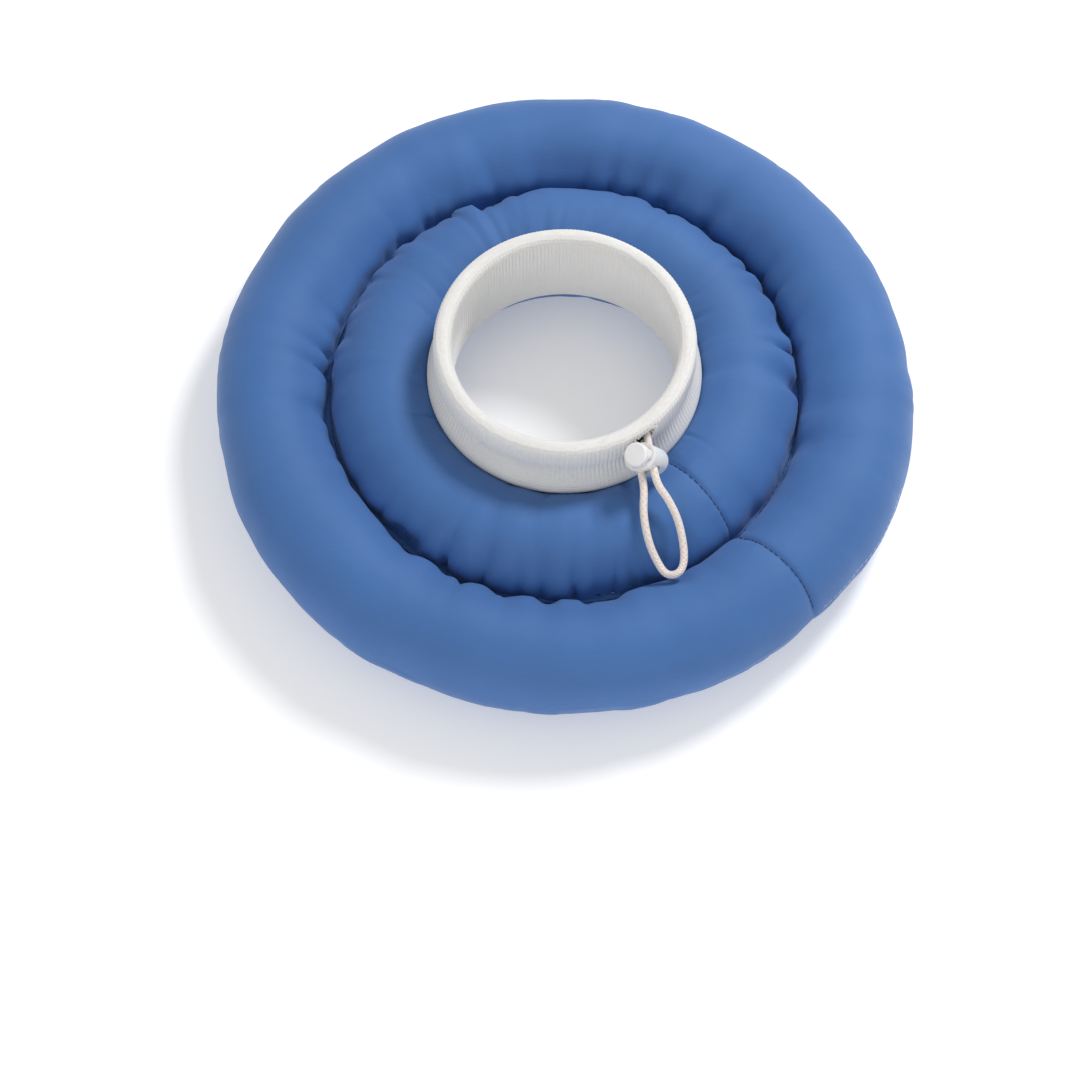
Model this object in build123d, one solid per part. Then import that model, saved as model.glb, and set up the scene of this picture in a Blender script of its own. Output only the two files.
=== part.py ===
from build123d import *
import math
import os

# Soft recovery collar: two stuffed fabric rings round a ribbed neck band, drawn in by an
# elastic cord with a spring cord lock. Millimetres, +Z up through the neck, the floor at z = 0.

# Fabric rings
OUTER_RADIUS = 125.0
OUTER_CREST_RADIUS = 104.6
OUTER_HEIGHT = 38.0
INNER_CREST_RADIUS = 64.0
INNER_HEIGHT = 39.6
NECK_SEAM_RADIUS = 44.6
GROOVE_RADIUS = 84.2
GROOVE_HALF_WIDTH = 0.7
SEAM_HEIGHT = 18.0
OUTER_FLAT_WIDTH = 13.0
INNER_FLAT_WIDTH = 11.0
FABRIC = 0.6
SEAM_ALLOWANCE = 5.0
ROUND = 0.5523
FULL = 0.72
FILLING_CLEARANCE = 0.45

# Ribbed neck band, one strip folded at its top edge
BAND_BORE_RADIUS = 40.0
BAND_HEIGHT = 57.25
KNIT = 1.4
LAYER_GAP = 0.1
BORE_LOW = 24.0
CHANNEL_LOW = 46.0
CHANNEL_PLAY = 0.08
WAIST_HEIGHT = 43.0
WAIST_GAP = 0.4
BASE_HEIGHT = 32.0
BASE_CLEARANCE = 0.2

# Sewing thread
THREAD = 0.35
THREAD_CLEARANCE = 0.05
RIM_SEAM_INSET = 2.0
NECK_SEAM_INSET = 2.0
RADIAL_SEAM_AZIMUTH = -45.0
CLOSING_START = -45.0
CLOSING_END = -18.0
CLOSING_RISE = 3.0
SEAM_END_GAP = 3.0
NECK_END_GAP = 11.0

# Elastic cord
CORD = 2.7
CORD_RING_HEIGHT = 51.2
CORD_RING_CORNERS = 19
CORD_RING_START = -72.0
CORD_RING_END = -396.0
CORD_BEND = 2.9
END_SHARE = 0.9
RUN_SHARE = 0.45
WHIPPING_LENGTH = 10.0
WHIPPING_WALL = 0.22

# Cord lock: its own frame has X across the two strands, Y back along them, Z up its plunger
LOCK_SEAT_AZIMUTH = -57.0
LOCK_STANDOFF = 5.65
LOCK_DROP = 2.0
LOCK_AZIMUTH = -78.0
LOCK_DIP = 12.0
LOCK_ROLL = 28.0
STRAND_SPACING = 4.8
STRAND_START = -5.3
STRAND_END = 10.0
SLOT_PLAY = 0.2
STRAND_CLEARANCE = 0.1
SLOT_CORNER = 1.2
SLOT_HEIGHT = 4.4
PLUNGER_SIDE = 0.8
PLUNGER_DEPTH = 4.6
PLUNGER_BRIDGE = 1.1
PLUNGER_PLAY = 0.15
BARREL_WALL = 0.9
BARREL_DEPTH = 9.4
BARREL_TOP = 4.4
BARREL_FLOOR = 0.9
CAP_DIAMETER = 8.6
CAP_THICKNESS = 2.6
CAP_GAP = 0.4
SPRING_DIAMETER = 3.8
SPRING_WIRE = 0.35
SPRING_TURNS = 4.0
SPRING_SPARE = 0.3
SPRING_END_GAP = 0.05

# Buttonhole in the band's outer layer
BUTTONHOLE_WIDTH = 11.6
BUTTONHOLE_HEIGHT = 6.0
BUTTONHOLE_SHIFT = 0.4
BUTTONHOLE_BORDER = 1.2
BUTTONHOLE_THREAD = 0.5
BUTTONHOLE_REACH = 6.0

# Corners of the free loop between the two straight stretches through the lock
LOOP_CORNERS = [
    (27.6, -61.3, 43.6),
    (29.6, -69.8, 38.3),
    (32.8, -75.2, 33.6),
    (35.8, -79.2, 31.9),
    (39.6, -79.9, 33.4),
    (41.9, -76.9, 33.8),
    (42.1, -71.2, 36.0),
    (40.0, -62.9, 41.2),
    (36.2, -56.8, 45.6),
]

# Values worked out from the ones above
CHANNEL_WIDTH = CORD + 2 * (WHIPPING_WALL + CHANNEL_PLAY)
GROOVE_INNER = GROOVE_RADIUS - GROOVE_HALF_WIDTH
GROOVE_OUTER = GROOVE_RADIUS + GROOVE_HALF_WIDTH
FLANGE_UP = SEAM_HEIGHT + KNIT + LAYER_GAP
FLANGE_DOWN = SEAM_HEIGHT - KNIT - LAYER_GAP
FOLD_RADIUS = KNIT + CHANNEL_WIDTH / 2
FOLD_CENTRE = BAND_HEIGHT - FOLD_RADIUS
BAND_RADIUS = BAND_BORE_RADIUS + 2 * FOLD_RADIUS
CHANNEL_INNER = BAND_BORE_RADIUS + KNIT
CHANNEL_OUTER = CHANNEL_INNER + CHANNEL_WIDTH
CORD_RING_RADIUS = CHANNEL_INNER + CHANNEL_WIDTH / 2
LOCK_RADIUS = BAND_RADIUS + LOCK_STANDOFF
LOCK_CENTRE = Vector(
    LOCK_RADIUS * math.cos(math.radians(LOCK_SEAT_AZIMUTH)),
    LOCK_RADIUS * math.sin(math.radians(LOCK_SEAT_AZIMUTH)),
    CORD_RING_HEIGHT - LOCK_DROP,
)
SLOT_WIDTH = STRAND_SPACING + CORD + 2 * SLOT_PLAY
SLOT_TOP = CORD / 2 + STRAND_CLEARANCE
PRESS_TRAVEL = SLOT_HEIGHT - 2 * SLOT_TOP
STEM_WIDTH = SLOT_WIDTH + 2 * PLUNGER_SIDE
STEM_FOOT = -SLOT_TOP - PLUNGER_BRIDGE
CAVITY_WIDTH = STEM_WIDTH + 2 * PLUNGER_PLAY
CAVITY_DEPTH = PLUNGER_DEPTH + 2 * PLUNGER_PLAY
BARREL_WIDTH = CAVITY_WIDTH + 2 * BARREL_WALL
SPRING_ROOM = PRESS_TRAVEL + (SPRING_TURNS + 1) * SPRING_WIRE + SPRING_SPARE
CAVITY_FLOOR = STEM_FOOT - SPRING_ROOM
BARREL_FOOT = CAVITY_FLOOR - BARREL_FLOOR
CAP_FOOT = BARREL_TOP + PRESS_TRAVEL + CAP_GAP


def at(radius, height):
    """A point of a cross-section, in the XZ plane."""
    return (radius, 0, height)


def dome(seam_radius, seam_height, crest_radius, crest_height, fullness):
    """A quarter of a ring's outline, upright at its seam and level at its crest."""
    reach = fullness * (crest_radius - seam_radius)
    rise = fullness * (crest_height - seam_height)
    return Bezier(
        at(seam_radius, seam_height),
        at(seam_radius, seam_height + rise),
        at(crest_radius - reach, crest_height),
        at(crest_radius, crest_height),
    )


def chain(*points):
    """Straight edges through the points of a cross-section."""
    return [Line(at(*a), at(*b)) for a, b in zip(points, points[1:])]


def turned(edges):
    """The solid that a closed cross-section sweeps about the neck axis."""
    return revolve(make_face(Wire(edges)), axis=Axis.Z)


def upper_domes(inset):
    """Both rings' upper outlines, moved into the fabric by inset."""
    low = SEAM_HEIGHT + max(FABRIC - inset, 0)
    return [
        dome(NECK_SEAM_RADIUS + inset, FLANGE_UP + inset, INNER_CREST_RADIUS, INNER_HEIGHT - inset, FULL),
        dome(GROOVE_INNER - inset, low, INNER_CREST_RADIUS, INNER_HEIGHT - inset, ROUND),
        dome(GROOVE_OUTER + inset, low, OUTER_CREST_RADIUS, OUTER_HEIGHT - inset, ROUND),
        dome(OUTER_RADIUS - inset, SEAM_HEIGHT + inset, OUTER_CREST_RADIUS, OUTER_HEIGHT - inset, ROUND),
    ]


def flat_ends():
    """Radii where the two rings' undersides lie flat on the floor."""
    inner = INNER_FLAT_WIDTH / 2
    outer = OUTER_FLAT_WIDTH / 2
    return (
        INNER_CREST_RADIUS - inner,
        INNER_CREST_RADIUS + inner,
        OUTER_CREST_RADIUS - outer,
        OUTER_CREST_RADIUS + outer,
    )


def lower_domes(inset):
    """Both rings' lower outlines, moved into the fabric by inset."""
    neck, inside, outside, rim = flat_ends()
    low = SEAM_HEIGHT - max(FABRIC - inset, 0)
    return [
        dome(NECK_SEAM_RADIUS + inset, FLANGE_DOWN - inset, neck, inset, ROUND),
        dome(GROOVE_INNER - inset, low, inside, inset, ROUND),
        dome(GROOVE_OUTER + inset, low, outside, inset, ROUND),
        dome(OUTER_RADIUS - inset, SEAM_HEIGHT - inset, rim, inset, ROUND),
    ]


def cover_section(skin, lining, flange, fabric, floor_edges, lining_floor):
    """One cover's closed section: outline, turned-in seam allowances and lining side."""
    seam = SEAM_HEIGHT
    neck_end = NECK_SEAM_RADIUS + SEAM_ALLOWANCE
    rim_end = OUTER_RADIUS - SEAM_ALLOWANCE
    edges = chain((neck_end, flange), (NECK_SEAM_RADIUS, flange))
    edges += skin + floor_edges
    edges += chain((GROOVE_INNER, seam + fabric), (GROOVE_OUTER, seam + fabric))
    edges += chain(
        (OUTER_RADIUS, seam),
        (rim_end, seam),
        (rim_end, seam + fabric),
        (OUTER_RADIUS - FABRIC, seam + fabric),
    )
    edges += lining + lining_floor
    edges += chain((GROOVE_OUTER + FABRIC, seam), (GROOVE_INNER - FABRIC, seam))
    edges += chain(
        (NECK_SEAM_RADIUS + FABRIC, flange + fabric),
        (neck_end, flange + fabric),
        (neck_end, flange),
    )
    return edges


def upper_cover():
    return turned(cover_section(upper_domes(0), upper_domes(FABRIC), FLANGE_UP, FABRIC, [], []))


def lower_cover():
    neck, inside, outside, rim = flat_ends()
    floor_edges = chain((neck, 0), (inside, 0)) + chain((outside, 0), (rim, 0))
    lining_floor = chain((neck, FABRIC), (inside, FABRIC)) + chain((outside, FABRIC), (rim, FABRIC))
    skin = lower_domes(0)
    lining = lower_domes(FABRIC)
    return turned(cover_section(skin, lining, FLANGE_DOWN, -FABRIC, floor_edges, lining_floor))


def seam_pocket(low_radius, high_radius, low, high):
    """The ring of space that a seam's allowances and thread take inside a filling."""
    margin = FABRIC + THREAD + FILLING_CLEARANCE
    section = chain(
        (low_radius, low - margin),
        (high_radius, low - margin),
        (high_radius, high + margin),
        (low_radius, high + margin),
        (low_radius, low - margin),
    )
    return turned(section)


def inner_ring_filling():
    inset = FABRIC + FILLING_CLEARANCE
    neck, inside, _, _ = flat_ends()
    edge = NECK_SEAM_RADIUS + inset
    edges = upper_domes(inset)[:2] + lower_domes(inset)[:2]
    edges += chain((neck, inset), (inside, inset))
    edges += chain((edge, FLANGE_DOWN - inset), (edge, FLANGE_UP + inset))
    pocket_end = NECK_SEAM_RADIUS + SEAM_ALLOWANCE + FILLING_CLEARANCE
    return turned(edges) - seam_pocket(BAND_BORE_RADIUS, pocket_end, FLANGE_DOWN, FLANGE_UP)


def outer_ring_filling():
    inset = FABRIC + FILLING_CLEARANCE
    _, _, outside, rim = flat_ends()
    edge = OUTER_RADIUS - inset
    edges = upper_domes(inset)[2:] + lower_domes(inset)[2:]
    edges += chain((outside, inset), (rim, inset))
    edges += chain((edge, SEAM_HEIGHT - inset), (edge, SEAM_HEIGHT + inset))
    pocket_end = OUTER_RADIUS - SEAM_ALLOWANCE - FILLING_CLEARANCE
    return turned(edges) - seam_pocket(pocket_end, OUTER_RADIUS, SEAM_HEIGHT, SEAM_HEIGHT)


def bend(*points):
    """A curved edge of a cross-section from four control points."""
    return Bezier(*[at(*point) for point in points])


def band_side(bore, outside, foot, waist, base):
    """One face of the folded strip, from its seam allowance up over the fold and down."""
    end = NECK_SEAM_RADIUS + SEAM_ALLOWANCE
    low, high = foot
    lean = (NECK_SEAM_RADIUS - bore) * ROUND
    drop = (BORE_LOW - low) * ROUND
    middle = (bore + outside) / 2
    reach = (outside - bore) / 2
    edges = chain((end, low), (NECK_SEAM_RADIUS, low))
    edges.append(bend((NECK_SEAM_RADIUS, low), (NECK_SEAM_RADIUS - lean, low), (bore, BORE_LOW - drop),
                      (bore, BORE_LOW)))
    edges += chain((bore, BORE_LOW), (bore, FOLD_CENTRE))
    edges.append(ThreePointArc(at(bore, FOLD_CENTRE), at(middle, FOLD_CENTRE + reach),
                               at(outside, FOLD_CENTRE)))
    edges += chain((outside, FOLD_CENTRE), (outside, CHANNEL_LOW + KNIT))
    half = (CHANNEL_LOW + KNIT + WAIST_HEIGHT) / 2
    edges.append(bend((outside, CHANNEL_LOW + KNIT), (outside, half), (waist, half), (waist, WAIST_HEIGHT)))
    half = (WAIST_HEIGHT + BASE_HEIGHT) / 2
    edges.append(bend((waist, WAIST_HEIGHT), (waist, half), (base, half), (base, BASE_HEIGHT)))
    edges += chain((base, BASE_HEIGHT), (base, high), (end, high))
    return edges


def neckband_blank():
    """The folded band before its buttonhole is cut."""
    base = NECK_SEAM_RADIUS - BASE_CLEARANCE
    waist = CHANNEL_INNER + WAIST_GAP
    outer = band_side(BAND_BORE_RADIUS, BAND_RADIUS, (FLANGE_DOWN, FLANGE_UP), waist + KNIT, base)
    inner = band_side(CHANNEL_INNER, CHANNEL_OUTER, (SEAM_HEIGHT - LAYER_GAP, SEAM_HEIGHT + LAYER_GAP),
                      waist, base - KNIT)
    end = NECK_SEAM_RADIUS + SEAM_ALLOWANCE
    outer += chain((end, FLANGE_DOWN), (end, SEAM_HEIGHT - LAYER_GAP))
    outer += chain((end, FLANGE_UP), (end, SEAM_HEIGHT + LAYER_GAP))
    return turned(outer + inner)


def lock_plane():
    """The cord lock's own frame: X across the strands, Y back along them, Z up the plunger."""
    azimuth = math.radians(LOCK_AZIMUTH)
    dip = math.radians(LOCK_DIP)
    roll = math.radians(LOCK_ROLL)
    way = Vector(math.cos(azimuth) * math.cos(dip), math.sin(azimuth) * math.cos(dip), -math.sin(dip))
    level = Vector(-math.sin(azimuth), math.cos(azimuth), 0)
    lift = way.cross(level)
    across = level * math.cos(roll) + lift * math.sin(roll)
    upright = way.cross(across)
    return Plane(origin=LOCK_CENTRE, x_dir=across, z_dir=upright)


def strand_point(side, along):
    """A point on a strand's straight stretch, counted from the lock outwards."""
    plane = lock_plane()
    return LOCK_CENTRE + plane.x_dir * (side * STRAND_SPACING / 2) - plane.y_dir * along


def buttonhole_tool(border):
    """A level rounded slot along the strands, where they leave the band."""
    azimuth = math.radians(LOCK_AZIMUTH)
    level = Vector(-math.sin(azimuth), math.cos(azimuth), 0)
    along = lock_plane().y_dir
    hole = Plane(origin=LOCK_CENTRE - along * STRAND_START + level * BUTTONHOLE_SHIFT, x_dir=level,
                 z_dir=along)
    outline = SlotOverall(BUTTONHOLE_WIDTH + 2 * border, BUTTONHOLE_HEIGHT + 2 * border)
    block = extrude(hole * outline, amount=BUTTONHOLE_REACH, both=True)
    return block - Cylinder(CORD_RING_RADIUS, 2 * BAND_HEIGHT)


def neckband():
    return neckband_blank() - buttonhole_tool(0)


def buttonhole_stitching():
    """The sewn border that lies on the band round its buttonhole."""
    height = BAND_HEIGHT - CHANNEL_LOW + 4 * BUTTONHOLE_BORDER
    place = Pos(0, 0, FOLD_CENTRE - height / 2)
    shell = place * Cylinder(BAND_RADIUS + BUTTONHOLE_THREAD, height)
    shell -= place * Cylinder(BAND_RADIUS, height)
    border = buttonhole_tool(BUTTONHOLE_BORDER) - buttonhole_tool(0)
    return shell & border


def thread_ring(radius, height):
    """One thread laid round the neck axis."""
    return Pos(0, 0, height) * Torus(radius, THREAD / 2)


def thread_pair(radius, low, high):
    """The needle thread above a seam and the bobbin thread below it."""
    return Compound([thread_ring(radius, high + THREAD / 2), thread_ring(radius, low - THREAD / 2)])


def groove_stitching():
    return thread_pair(GROOVE_RADIUS, SEAM_HEIGHT - FABRIC, SEAM_HEIGHT + FABRIC)


def rim_seam_thread():
    return thread_pair(OUTER_RADIUS - RIM_SEAM_INSET, SEAM_HEIGHT - FABRIC, SEAM_HEIGHT + FABRIC)


def neck_seam_thread():
    return thread_pair(NECK_SEAM_RADIUS + NECK_SEAM_INSET, FLANGE_DOWN - FABRIC, FLANGE_UP + FABRIC)


def cord_channel_stitching():
    """The row of stitches round the band's waist that closes the cord channel."""
    return thread_ring(CHANNEL_INNER + WAIST_GAP + KNIT + THREAD / 2, WAIST_HEIGHT)


def thread_tube(path):
    """A thread along one open edge."""
    start = Plane(origin=path @ 0, z_dir=path % 0)
    return sweep(start * Circle(THREAD / 2), path=path)


def radial_threads(domes):
    """A thread up one side of each ring and down the other, at the radial seam."""
    gaps = [NECK_END_GAP, SEAM_END_GAP, SEAM_END_GAP, SEAM_END_GAP]
    tubes = [thread_tube(edge.trim(gap / edge.length, 1)) for edge, gap in zip(domes, gaps)]
    return Rot(0, 0, RADIAL_SEAM_AZIMUTH) * Compound(tubes)


def radial_seam_upper_stitches():
    """Stitches on the outside of the upper cover."""
    return radial_threads(upper_domes(-THREAD / 2 - THREAD_CLEARANCE))


def radial_seam_lower_stitches():
    """Stitches on the inside of the lower cover, where they stay off the floor."""
    return radial_threads(lower_domes(FABRIC + THREAD / 2 + THREAD_CLEARANCE))


def rim_closing_stitches():
    """The top-stitching that closes the opening the outer ring was stuffed through."""
    share = CLOSING_RISE / (OUTER_HEIGHT - SEAM_HEIGHT)
    width = OUTER_RADIUS - OUTER_CREST_RADIUS
    radius = OUTER_CREST_RADIUS + width * math.sqrt(1 - share ** 2) + THREAD
    ring = CenterArc((0, 0, SEAM_HEIGHT + CLOSING_RISE), radius, CLOSING_START, CLOSING_END - CLOSING_START)
    return thread_tube(ring.edge())


def cord_tube(points, radii):
    """Elastic cord along straight runs joined by tangent arcs."""
    path = FilletPolyline(*points, radius=radii)
    start = Plane(origin=path @ 0, z_dir=path % 0)
    tube = sweep(start * Circle(CORD / 2), path=path)
    spare = tube.volume / (math.pi * (CORD / 2) ** 2 * path.length)
    print("cord length", round(path.length, 1), "radii", [round(r, 1) for r in radii],
          "volume share", round(spare, 4))
    return tube


def corner_radii(points):
    """The largest arc that each corner's two runs allow."""
    radii = []
    for before, corner, after in zip(points, points[1:], points[2:]):
        first = corner - before
        second = after - corner
        turn = math.radians(first.get_angle(second))
        shorter = min(first.length, second.length)
        radii.append(RUN_SHARE * shorter / math.tan(turn / 2))
    return radii


def drawcord_loop():
    points = [strand_point(-1, STRAND_START), strand_point(-1, STRAND_END)]
    points += [Vector(*corner) for corner in LOOP_CORNERS]
    points += [strand_point(1, STRAND_END), strand_point(1, STRAND_START)]
    return cord_tube(points, corner_radii(points))


def ring_point(azimuth, radius):
    angle = math.radians(azimuth)
    return Vector(radius * math.cos(angle), radius * math.sin(angle), CORD_RING_HEIGHT)


def strand_turn(side):
    """The corner where a strand's straight line meets the cord's ring in the channel."""
    start = strand_point(side, 0)
    way = lock_plane().y_dir
    across = way.X ** 2 + way.Y ** 2
    middle = (start.X * way.X + start.Y * way.Y) / across
    gap = (start.X ** 2 + start.Y ** 2 - CORD_RING_RADIUS ** 2) / across
    return start + way * (-middle - math.sqrt(middle ** 2 - gap))


def ring_corners():
    """Corners whose runs touch the cord's ring, evenly spaced round the neck."""
    step = (CORD_RING_END - CORD_RING_START) / (CORD_RING_CORNERS - 1)
    radius = CORD_RING_RADIUS / math.cos(math.radians(step / 2))
    return [ring_point(CORD_RING_START + step * i, radius) for i in range(CORD_RING_CORNERS)]


def end_radius(end, corner, after):
    """The largest arc at a path's first corner, which has its end run to itself."""
    turn = math.radians((corner - end).get_angle(after - corner))
    return END_SHARE * (corner - end).length / math.tan(turn / 2)


def drawcord_channel_run():
    """The cord's run round the neck inside the band, and out to both strands."""
    points = [strand_point(-1, STRAND_START), strand_turn(-1)]
    points += ring_corners()
    points += [strand_turn(1), strand_point(1, STRAND_START)]
    radii = corner_radii(points)
    radii[0] = min(CORD_BEND, end_radius(*points[:3]))
    radii[-1] = min(CORD_BEND, end_radius(*points[:-4:-1]))
    return cord_tube(points, radii)


def cord_end_whipping():
    """The bound sleeve that joins the cord's two ends at the back of the neck."""
    middle = CORD_RING_CORNERS // 2
    points = ring_corners()[middle - 1:middle + 2]
    bends = FilletPolyline(*points, radius=corner_radii(points)[0])
    arc = bends.edges().filter_by(GeomType.CIRCLE)[0]
    margin = (1 - WHIPPING_LENGTH / arc.length) / 2
    path = arc.trim(margin, 1 - margin)
    sleeve = Circle(CORD / 2 + WHIPPING_WALL) - Circle(CORD / 2)
    return sweep(Plane(origin=path @ 0, z_dir=path % 0) * sleeve, path=path)


def stadium(width, depth, low, high):
    """An upright rounded block in the lock's own frame."""
    return Pos(0, 0, low) * extrude(SlotOverall(width, depth), amount=high - low)


def strand_window(width, low, high, depth):
    """The passage for both strands, along the lock's Y."""
    side = Plane.XZ.offset(-depth / 2)
    outline = Pos(0, (low + high) / 2) * RectangleRounded(width, high - low, SLOT_CORNER)
    return extrude(side * outline, amount=depth)


def cord_lock_barrel():
    barrel = stadium(BARREL_WIDTH, BARREL_DEPTH, BARREL_FOOT, BARREL_TOP)
    barrel -= stadium(CAVITY_WIDTH, CAVITY_DEPTH, CAVITY_FLOOR, BARREL_TOP)
    barrel -= strand_window(SLOT_WIDTH, SLOT_TOP - SLOT_HEIGHT, SLOT_TOP, 2 * BARREL_DEPTH)
    return lock_plane() * barrel


def cord_lock_plunger():
    stem = stadium(STEM_WIDTH, PLUNGER_DEPTH, STEM_FOOT, CAP_FOOT)
    stem -= strand_window(SLOT_WIDTH, -SLOT_TOP, SLOT_HEIGHT - SLOT_TOP, 2 * PLUNGER_DEPTH)
    cap = Pos(0, 0, CAP_FOOT + CAP_THICKNESS / 2) * Cylinder(CAP_DIAMETER / 2, CAP_THICKNESS)
    cap = fillet(cap.faces().sort_by(Axis.Z)[-1].edges(), CAP_THICKNESS / 3)
    return lock_plane() * (stem + cap)


def cord_lock_spring():
    """The coil between the cavity's floor and the plunger's foot."""
    height = SPRING_ROOM - SPRING_WIRE - 2 * SPRING_END_GAP
    radius = (SPRING_DIAMETER - SPRING_WIRE) / 2
    helix = Helix(height / SPRING_TURNS, height, radius)
    start = Plane(origin=helix @ 0, z_dir=helix % 0)
    coil = sweep(start * Circle(SPRING_WIRE / 2), path=helix)
    return lock_plane() * (Pos(0, 0, CAVITY_FLOOR + SPRING_WIRE / 2 + SPRING_END_GAP) * coil)


PARTS = {
    "upper_cover": upper_cover,
    "lower_cover": lower_cover,
    "outer_ring_filling": outer_ring_filling,
    "inner_ring_filling": inner_ring_filling,
    "groove_stitching": groove_stitching,
    "rim_seam_thread": rim_seam_thread,
    "rim_closing_stitches": rim_closing_stitches,
    "radial_seam_upper_stitches": radial_seam_upper_stitches,
    "radial_seam_lower_stitches": radial_seam_lower_stitches,
    "neckband": neckband,
    "neck_seam_thread": neck_seam_thread,
    "cord_channel_stitching": cord_channel_stitching,
    "buttonhole_stitching": buttonhole_stitching,
    "drawcord_channel_run": drawcord_channel_run,
    "cord_end_whipping": cord_end_whipping,
    "drawcord_loop": drawcord_loop,
    "cord_lock_barrel": cord_lock_barrel,
    "cord_lock_plunger": cord_lock_plunger,
    "cord_lock_spring": cord_lock_spring,
}

os.makedirs("parts", exist_ok=True)
for name, make in PARTS.items():
    export_step(make(), f"parts/{name}.step")
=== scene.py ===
import math
import random
from math import cos, exp, pi, radians, sin, sqrt

import bpy
from mathutils import Matrix, Vector, noise


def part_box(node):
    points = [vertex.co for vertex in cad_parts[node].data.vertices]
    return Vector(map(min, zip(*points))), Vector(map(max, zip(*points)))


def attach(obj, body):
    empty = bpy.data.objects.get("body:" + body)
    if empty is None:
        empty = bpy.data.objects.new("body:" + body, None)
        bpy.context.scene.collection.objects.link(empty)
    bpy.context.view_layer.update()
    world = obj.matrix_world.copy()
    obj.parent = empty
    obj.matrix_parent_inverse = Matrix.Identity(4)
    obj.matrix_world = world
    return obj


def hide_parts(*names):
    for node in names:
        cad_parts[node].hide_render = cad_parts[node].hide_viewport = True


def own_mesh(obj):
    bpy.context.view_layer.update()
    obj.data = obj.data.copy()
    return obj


MM = 0.001

# Stuffed rings, sizes in millimetres
OUTER_RADIUS = 125.0
OUTER_CREST = (104.6, 38.0)
INNER_CREST = (64.0, 39.6)
NECK_RADIUS = 44.6
GROOVE_RADIUS = 84.2
GROOVE_HALF_WIDTH = 0.7
SEAM_HEIGHT = 18.0
FABRIC = 0.6
ALLOWANCE = 5.0
FLANGE_UP = 19.5
FLANGE_DOWN = 16.5
FLOOR_EDGES = (58.5, 69.5, 98.1, 111.1)
ROUND = 0.5523
FULL = 0.72
COVER_COLUMNS = 224
RADIAL_SEAM = -45.0

# Covers and stuffing, in millimetres
FILL_SCALE = 20
FILL_STEPS = 14
FILL_LIMIT = 3
FIBRE_GAP = 1.15
FIBRE_CLEAR = 2.4
MIDDLE_RADIUS = 62
LEAN_REACH = 11
CREASE_REACH = 12
CREASE_WINDOW = 0.14
SEAM_PITCH = 2.6

# Neck band
BORE = 40.0
KNIT = 1.4
BAND_RADIUS = 46.1
BASE_RADIUS = 44.4
FOLD_RADIUS = 3.05
FOLD_HEIGHT = 54.2
RIBS = 188
RIB_COLUMNS = 6
RIB_DEPTH = 0.32

# Cord and cord lock
CORD = 2.7
LOCK_AZIMUTH = -78.0
LOCK_DIP = 12.0
LOCK_ROLL = 28.0
LOCK_SEAT_AZIMUTH = -57.0
LOCK_RADIUS = 51.75
LOCK_HEIGHT = 49.2
STRAND_SPACING = 4.8
STRAND_START = -5.3
STRAND_STRAIGHT = 2.0
STRAND_END = 10.0
LOOP_CORNERS = (
    (27.6, -61.3, 43.6),
    (29.6, -69.8, 38.3),
    (32.8, -75.2, 33.6),
    (35.8, -79.2, 31.9),
    (39.6, -79.9, 33.4),
    (41.9, -76.9, 33.8),
    (42.1, -71.2, 36.0),
    (40.0, -62.9, 41.2),
    (36.2, -56.8, 45.6),
)
HOLE_HALF_WIDTH = 5.8
HOLE_HALF_HEIGHT = 3.0
HOLE_SHIFT = 0.4
HOLE_STITCHES = 60
GROOVE_STITCHES = 176
RIM_STITCHES = 257
NECK_STITCHES = 98
CHANNEL_STITCHES = 104
CLOSING_STITCHES = 22

BLUE = (0.055, 0.152, 0.395)
WHITE = (1, 1, 1, 1)
PAPER = (0.88, 0.88, 0.88, 1)
MIDDLE = (0, 0, 0.02)

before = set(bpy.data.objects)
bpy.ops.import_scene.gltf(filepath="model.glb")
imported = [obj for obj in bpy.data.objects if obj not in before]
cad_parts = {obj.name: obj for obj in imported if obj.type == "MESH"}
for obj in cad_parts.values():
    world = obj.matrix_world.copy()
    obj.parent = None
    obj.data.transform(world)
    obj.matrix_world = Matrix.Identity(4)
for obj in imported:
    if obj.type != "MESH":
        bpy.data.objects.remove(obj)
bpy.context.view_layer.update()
random.seed(41)


# ---------- hand tools ----------


def only(piece):
    """Nothing but this piece is selected, and it is the active one."""
    bpy.ops.object.select_all(action="DESELECT")
    piece.hide_viewport = False
    piece.select_set(True)
    bpy.context.view_layer.objects.active = piece


def edit(piece):
    only(piece)
    bpy.ops.object.mode_set(mode="EDIT")
    bpy.ops.mesh.select_mode(type="VERT")
    bpy.ops.mesh.select_all(action="DESELECT")


def done():
    bpy.ops.object.mode_set(mode="OBJECT")


def pick(piece, what, test):
    """Selects the vertices, edges or faces that pass the test, in edit mode."""
    bpy.ops.mesh.select_mode(type=what)
    bpy.ops.mesh.select_all(action="DESELECT")
    done()
    mesh = piece.data
    if what == "VERT":
        for vertex in mesh.vertices:
            vertex.select = test(vertex.co)
    elif what == "EDGE":
        for edge in mesh.edges:
            edge.select = all(test(mesh.vertices[v].co) for v in edge.vertices)
    else:
        for face in mesh.polygons:
            face.select = test(face.center)
    bpy.ops.object.mode_set(mode="EDIT")


def open_edges(piece):
    """The edges that have a face on one side only."""
    edit(piece)
    bpy.ops.mesh.select_mode(type="EDGE")
    bpy.ops.mesh.select_non_manifold(extend=False)
    done()
    return [edge.index for edge in piece.data.edges if edge.select]


def take_edges(piece, wanted):
    """Edit mode, with only the wanted edges selected."""
    mesh = piece.data
    for group in (mesh.vertices, mesh.edges, mesh.polygons):
        group.foreach_set("select", [False] * len(group))
    for index in wanted:
        mesh.edges[index].select = True
        for corner in mesh.edges[index].vertices:
            mesh.vertices[corner].select = True
    bpy.ops.object.mode_set(mode="EDIT")


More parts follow.
